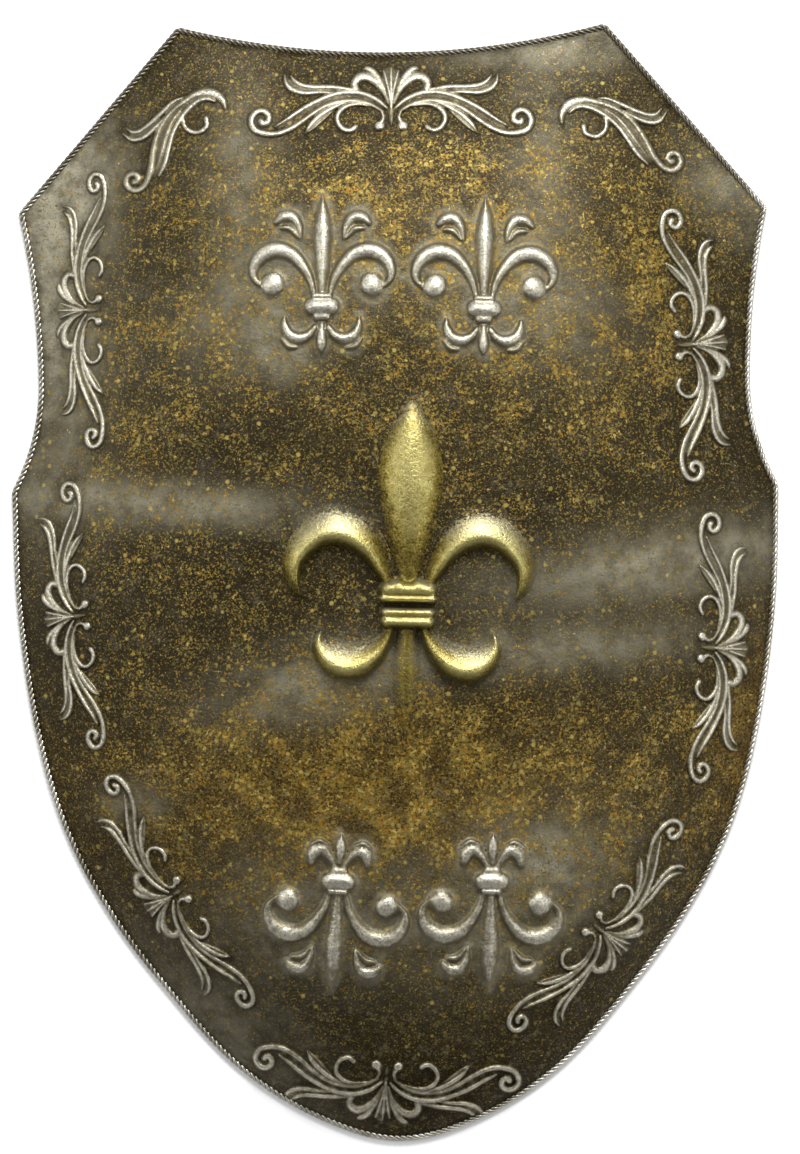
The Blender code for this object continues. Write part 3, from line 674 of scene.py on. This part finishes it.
def dots(tree, place, scale, size, share):
    """Separate round specks: how much of one lies at a spot, and a random tone for it. The share
    is how many of the places for one are filled."""
    cells = add_node(tree, "ShaderNodeTexVoronoi", {"Vector": place, "Scale": scale}).outputs
    chance = add_node(tree, "ShaderNodeSeparateColor", {0: cells["Color"]}).outputs
    speck = ramp(tree, cells["Distance"], size, size * 0.45)
    return maths(tree, "MULTIPLY", speck, maths(tree, "LESS_THAN", chance[0], share)), chance[1]


def new_group(name, inputs, outputs):
    """A shader node group with float inputs and their usual values, and float outputs."""
    tree = bpy.data.node_groups.new(name, "ShaderNodeTree")
    tree.interface.new_socket("Place", in_out="INPUT", socket_type="NodeSocketVector")
    for label, usual in inputs.items():
        socket = tree.interface.new_socket(label, in_out="INPUT", socket_type="NodeSocketFloat")
        socket.default_value = usual
    for label in outputs:
        tree.interface.new_socket(label, in_out="OUTPUT", socket_type="NodeSocketFloat")
    return tree, tree.nodes.new("NodeGroupInput").outputs, tree.nodes.new("NodeGroupOutput").inputs


# Fine pits and coarser grime, which the sheet and the rope share
grime, into, out = new_group("grime", {"Scale": 300.0}, ("Pits", "Dirt"))
coarse = clouds(grime, into["Place"], maths(grime, "MULTIPLY", into["Scale"], 0.18), 5.0, 0.65)
fine = clouds(grime, into["Place"], into["Scale"], 6.0, 0.6)
grime.links.new(ramp(grime, fine, 0.35, 0.6), out["Pits"])
grime.links.new(ramp(grime, coarse, 0.42, 0.68), out["Dirt"])


def use_group(tree, group, place, values):
    """The outputs of a group set into the tree, with its inputs at the given values."""
    made = add_node(tree, "ShaderNodeGroup", node_tree=group)
    tree.links.new(place, made.inputs["Place"])
    for label, value in values.items():
        made.inputs[label].default_value = value
    return made.outputs


# Colours of the sheet, in linear light
dark_olive = (0.0175, 0.0120, 0.0026, 1.0)
warm_brown = (0.036, 0.0250, 0.0065, 1.0)
dull_umber = (0.054, 0.043, 0.029, 1.0)
olive_grain = (0.105, 0.077, 0.017, 1.0)
gold_grain = (0.185, 0.145, 0.034, 1.0)
amber_spot = (0.265, 0.135, 0.012, 1.0)
bright_spot = (0.40, 0.30, 0.080, 1.0)
amber_stain = (0.17, 0.092, 0.008, 1.0)
rubbed_grey_and_sheen = (0.285, 0.265, 0.195, 1.0)
silver = (0.62, 0.59, 0.49, 1.0)
old_silver = (0.215, 0.190, 0.125, 1.0)
gilt = (0.58, 0.51, 0.20, 1.0)
painted_highlight_gilt = (0.74, 0.71, 0.52, 1.0)
deep_gilt = (0.155, 0.115, 0.018, 1.0)
# Dark brown for grain and grime, and for painted shade at the feet of the sprays
grime_and_shade_brown = (0.012, 0.008, 0.0025, 1.0)

sheet_material = bpy.data.materials.new("bronzed_steel")
sheet_material.use_nodes = True
tree = sheet_material.node_tree
shader = tree.nodes["Principled BSDF"]
place = add_node(tree, "ShaderNodeTexCoord").outputs["Object"]
mark = {name: add_node(tree, "ShaderNodeAttribute", attribute_name=name).outputs["Fac"] for name in marks}
grime_marks = use_group(tree, grime, place, {"Scale": 520.0})

# Ground: olive patina in clouds, amber stains, pale grey where it is rubbed and where painted reflections
# lie, then gold and amber flecks of three sizes, a few round specks among them, and grime with painted shade
# in the hollows of the sprays
ground_clouds = clouds(tree, place, 9.0, 5.0, 0.6, 0.4)
colour = mixed(tree, ramp(tree, ground_clouds, 0.35, 0.7), dark_olive, warm_brown)
drifts = clouds(tree, place, 48.0, 5.0, 0.7)
thrown = maths(tree, "MULTIPLY", mark["spatter"], ramp(tree, drifts, 0.36, 0.66, 0.20, 1.35))
sheen_and_rubbing_breakup = ramp(tree, clouds(tree, place, 55.0, 5.0, 0.7), 0.30, 0.66, 0.35, 1.1)
halo = maths(tree, "MULTIPLY", mark["lily_foot"], 0.65)
sheen_and_rubbing = maths(tree, "MULTIPLY", maths(tree, "MAXIMUM", mark["sheen_and_rubbing"], halo), sheen_and_rubbing_breakup)
dulled = ramp(tree, clouds(tree, place, 75.0, 4.0, 0.7), 0.50, 0.68, 0.0, 0.75)
colour = mixed(tree, dulled, colour, dull_umber)
stained = maths(tree, "MULTIPLY", mark["amber"], ramp(tree, drifts, 0.35, 0.65, 0.35, 1.0))
colour = mixed(tree, stained, colour, amber_stain)
grain = clouds(tree, place, 700.0, 2.0, 0.6)
colour = mixed(tree, ramp(tree, grain, 0.54, 0.40, 0.0, 0.90), colour, grime_and_shade_brown)
# Pale grey: rubbed wear and painted reflections of the lamps
colour = mixed(tree, sheen_and_rubbing, colour, rubbed_grey_and_sheen)
hue = clouds(tree, place, 330.0, 1.0, 0.5)
# Flecks: scale, least noise that shows, how much the spatter helps it, cover, and the two tones
fleck_sizes = ((680.0, 0.605, 0.09, 0.85, olive_grain, gold_grain),
               (480.0, 0.665, 0.11, 0.90, gold_grain, amber_spot),
               (360.0, 0.725, 0.12, 0.90, amber_spot, bright_spot))
fleck_softness = 0.04
for scale, least, reach, cover, low_tone, high_tone in fleck_sizes:
    level = maths(tree, "ADD", clouds(tree, place, scale, 2.0, 0.6), maths(tree, "MULTIPLY", thrown, reach))
    flecks = ramp(tree, level, least, least + fleck_softness, 0.0, cover)
    colour = mixed(tree, flecks, colour, mixed(tree, ramp(tree, hue, 0.42, 0.58), low_tone, high_tone))
specks, tone = dots(tree, place, 250.0, 0.46, maths(tree, "MULTIPLY", thrown, 0.20))
colour = mixed(tree, maths(tree, "MULTIPLY", specks, 0.8), colour, mixed(tree, tone, gold_grain, bright_spot))
# Dark brown at the feet of the sprays: patina in the hollows, with painted shade
shaded = ramp(tree, clouds(tree, place, 120.0, 3.0), 0.3, 0.7, 0.25, 0.75)
hollow_grime_and_shade = maths(tree, "MULTIPLY", mark["spray_foot"], shaded)
colour = mixed(tree, hollow_grime_and_shade, colour, grime_and_shade_brown)

# Rubbed silver on the raised lines, patchy where the patina holds
wear = clouds(tree, place, 190.0, 4.0, 0.6)
uneven = maths(tree, "SUBTRACT", wear, 0.5)
silver_up = maths(tree, "MAXIMUM", maths(tree, "POWER", mark["spray"], 1.5), mark["lily"])
patchiness = ramp(tree, mark["low"], 0.0, 1.0, 0.55, 1.30)
silver_level = maths(tree, "ADD", silver_up, maths(tree, "MULTIPLY", uneven, patchiness))
silver_level = maths(tree, "SUBTRACT", silver_level, maths(tree, "MULTIPLY", mark["low"], 0.05))
silver_mask = ramp(tree, silver_level, 0.00, 0.50)
silver_tone = mixed(tree, ramp(tree, silver_level, 0.42, 0.98), old_silver, silver)
stain = maths(tree, "MULTIPLY", ramp(tree, grain, 0.42, 0.64), 0.55)
stain = maths(tree, "MAXIMUM", stain, maths(tree, "MULTIPLY", mark["tarnish"], 0.12))
silver_tone = mixed(tree, stain, silver_tone, old_silver)
colour = mixed(tree, silver_mask, colour, silver_tone)

# Gilding on the great lily, thin and speckled towards its feet
grain_unevenness = maths(tree, "SUBTRACT", grain, 0.5)
gold_level = maths(tree, "ADD", mark["gold"], maths(tree, "MULTIPLY", grain_unevenness, 0.9))
gold_level = maths(tree, "ADD", gold_level, maths(tree, "MULTIPLY", uneven, 0.6))
gold_mask = ramp(tree, gold_level, 0.06, 0.50)
gold_tone = mixed(tree, ramp(tree, gold_level, 0.30, 1.0), deep_gilt, gilt)
gold_tone = mixed(tree, maths(tree, "MULTIPLY", ramp(tree, grain, 0.48, 0.62), 0.45), gold_tone, deep_gilt)
# Painted highlight: pale gilt on the great lily's slopes that face the lamp above the top
gold_tone = mixed(tree, maths(tree, "MULTIPLY", mark["gold_top"], 0.45), gold_tone, painted_highlight_gilt)
colour = mixed(tree, gold_mask, colour, gold_tone)
colour = mixed(tree, maths(tree, "MULTIPLY", grime_marks["Dirt"], 0.22), colour, grime_and_shade_brown)

metal = maths(tree, "MAXIMUM", silver_mask, gold_mask)
roughness = maths(tree, "ADD", 0.40, maths(tree, "MULTIPLY", grime_marks["Pits"], 0.14))
roughness = maths(tree, "SUBTRACT", roughness, maths(tree, "MULTIPLY", metal, 0.10))
grain_height = maths(tree, "MULTIPLY", grain, 0.5)
height = maths(tree, "ADD", grain_height, maths(tree, "MULTIPLY", grime_marks["Pits"], 0.5))
bump = add_node(tree, "ShaderNodeBump", {"Strength": 0.45, "Distance": 0.0006, "Height": height})
tree.links.new(colour, shader.inputs["Base Color"])
tree.links.new(ramp(tree, metal, 0.0, 1.0, 0.45, 0.92), shader.inputs["Metallic"])
tree.links.new(roughness, shader.inputs["Roughness"])
tree.links.new(bump.outputs[0], shader.inputs["Normal"])
shader.inputs["Specular IOR Level"].default_value = 0.18
sheet_mesh.materials.append(sheet_material)
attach(sheet, "root")
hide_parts("shell")


# The edging is three strands of wire, twisted together and soldered all round the sheet's edge.
# It is tinned bright, with dark grime left in the lay.

strand_count = 3
strand_radius = rope_radius / (1 + 2 / math.sqrt(3))
lay_length = 0.0112
points_per_turn = 14
corner_smoothing = 3
strand_roundness = 2

rope_line = inset_loop(outline, rope_radius)
closed = np.vstack([rope_line, rope_line[:1]])
rope_length = np.linalg.norm(np.diff(closed, axis=0), axis=1).sum()
turns = round(rope_length / lay_length)
middle = even_steps(closed, rope_length / (turns * points_per_turn))[:-1]
for _ in range(corner_smoothing):
    middle = 0.25 * np.roll(middle, 1, axis=0) + 0.5 * middle + 0.25 * np.roll(middle, -1, axis=0)
ahead = np.roll(middle, -1, axis=0) - np.roll(middle, 1, axis=0)
ahead /= np.linalg.norm(ahead, axis=1)[:, None]
beside = np.stack([-ahead[:, 1], ahead[:, 0]], axis=1)
phase = np.arange(len(middle)) / len(middle) * turns * 2 * math.pi

bpy.ops.object.select_all(action="DESELECT")
strands = []
for number in range(strand_count):
    angle = phase + number * 2 * math.pi / strand_count
    lie = middle + beside * ((rope_radius - strand_radius) * np.cos(angle))[:, None]
    curve = bpy.data.curves.new("rope_strand", "CURVE")
    curve.dimensions = "3D"
    curve.bevel_depth = strand_radius
    curve.bevel_resolution = strand_roundness
    spline = curve.splines.new("POLY")
    spline.points.add(len(lie) - 1)
    level = rope_radius + (rope_radius - strand_radius) * np.sin(angle)
    spline.points.foreach_set("co", np.column_stack([lie, level, np.ones(len(lie))]).ravel())
    spline.use_cyclic_u = True
    strand = bpy.data.objects.new("rope_strand", curve)
    bpy.context.scene.collection.objects.link(strand)
    strand.select_set(True)
    strands.append(strand)
bpy.context.view_layer.objects.active = strands[0]
bpy.ops.object.convert(target="MESH")
bpy.ops.object.join()
rope = bpy.context.view_layer.objects.active
rope.name = "twisted_wire_edging"
bpy.ops.object.shade_smooth()

# Colours of the wire, in linear light: dull in patches, and darkened along the top edge as painted shade
wire_silver = (0.52, 0.50, 0.44, 1.0)
wire_dull = (0.20, 0.18, 0.13, 1.0)
wire_painted_shade = (0.075, 0.060, 0.035, 1.0)
shade_from, shade_to = 0.225, 0.255
wire_material = bpy.data.materials.new("silvered_wire")
wire_material.use_nodes = True
tree = wire_material.node_tree
shader = tree.nodes["Principled BSDF"]
place = add_node(tree, "ShaderNodeTexCoord").outputs["Object"]
grime_marks = use_group(tree, grime, place, {"Scale": 400.0})
tarnish = ramp(tree, clouds(tree, place, 14.0, 4.0, 0.6), 0.40, 0.70)
colour = mixed(tree, tarnish, wire_silver, wire_dull)
colour = mixed(tree, maths(tree, "MULTIPLY", grime_marks["Dirt"], 0.5), colour, wire_dull)
# Painted shade: the wire along the shield's top edges is darkened, as if out of the light
along_shield = add_node(tree, "ShaderNodeSeparateXYZ", {0: place}).outputs["Y"]
painted_shade_share = ramp(tree, along_shield, shade_from, shade_to, 0.0, 0.80)
colour = mixed(tree, painted_shade_share, colour, wire_painted_shade)
tree.links.new(colour, shader.inputs["Base Color"])
tree.links.new(ramp(tree, grime_marks["Pits"], 0.0, 1.0, 0.28, 0.42), shader.inputs["Roughness"])
shader.inputs["Metallic"].default_value = 0.95
rope.data.materials.append(wire_material)
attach(rope, "root")
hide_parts("rim_rope")


# Floor, lights and camera: a pale table under soft light from above the shield's top edge,
# seen from straight above, as square to the shield as the photograph is.

photo_width, photo_height = 800, 1154
metres_per_pixel = 0.0006267
outline_middle_px = (396.0, 583.0)
camera_roll = math.radians(0.5)
camera_height = 5.0

bpy.ops.object.select_all(action="DESELECT")
bpy.ops.mesh.primitive_plane_add(size=12.0, location=(0.0, 0.0, 0.0))
floor = bpy.context.object
floor.name = "pale_floor"
floor_material = bpy.data.materials.new("pale_floor")
floor_material.use_nodes = True
tree = floor_material.node_tree
shader = tree.nodes["Principled BSDF"]
floor_place = add_node(tree, "ShaderNodeTexCoord").outputs["Object"]
floor_tone = ramp(tree, clouds(tree, floor_place, 3.0, 3.0), 0.3, 0.7, 0.90, 0.93)
tree.links.new(floor_tone, shader.inputs["Base Color"])
shader.inputs["Roughness"].default_value = 0.9
floor.data.materials.append(floor_material)

world = bpy.data.worlds.new("studio")
world.use_nodes = True
world.node_tree.nodes["Background"].inputs["Color"].default_value = (1.0, 1.0, 1.0, 1.0)
world.node_tree.nodes["Background"].inputs["Strength"].default_value = 0.34
bpy.context.scene.world = world


def soft_light(name, spot, size, power):
    """A broad soft lamp that faces the middle of the shield."""
    lamp = bpy.data.lights.new(name, "AREA")
    lamp.shape = "RECTANGLE"
    lamp.size, lamp.size_y = size
    lamp.energy = power
    holder = bpy.data.objects.new(name, lamp)
    holder.location = spot
    holder.rotation_euler = (-Vector(spot)).to_track_quat("-Z", "Y").to_euler()
    bpy.context.scene.collection.objects.link(holder)


soft_light("key_above_top", (0.35, 2.0, 1.8), (1.5, 0.9), 94.0)
soft_light("fill_left", (-1.9, 0.3, 1.4), (0.7, 1.6), 20.0)
soft_light("fill_right", (1.9, -0.2, 1.4), (0.7, 1.6), 16.0)
bpy.context.scene.view_settings.view_transform = "Standard"

shift_x = (photo_width / 2 - outline_middle_px[0]) * metres_per_pixel
shift_y = (outline_middle_px[1] - photo_height / 2) * metres_per_pixel
camera = bpy.data.objects.new("camera", bpy.data.cameras.new("camera"))
camera.data.sensor_fit = "VERTICAL"
camera.data.sensor_height = 36.0
camera.data.lens = camera.data.sensor_height * camera_height / (photo_height * metres_per_pixel)
camera.data.clip_end = 50.0
camera.location = (shift_x * math.cos(camera_roll) + shift_y * math.sin(camera_roll),
                   shift_y * math.cos(camera_roll) - shift_x * math.sin(camera_roll), camera_height)
camera.rotation_euler = (0.0, 0.0, -camera_roll)
bpy.context.scene.collection.objects.link(camera)
bpy.context.scene.camera = camera
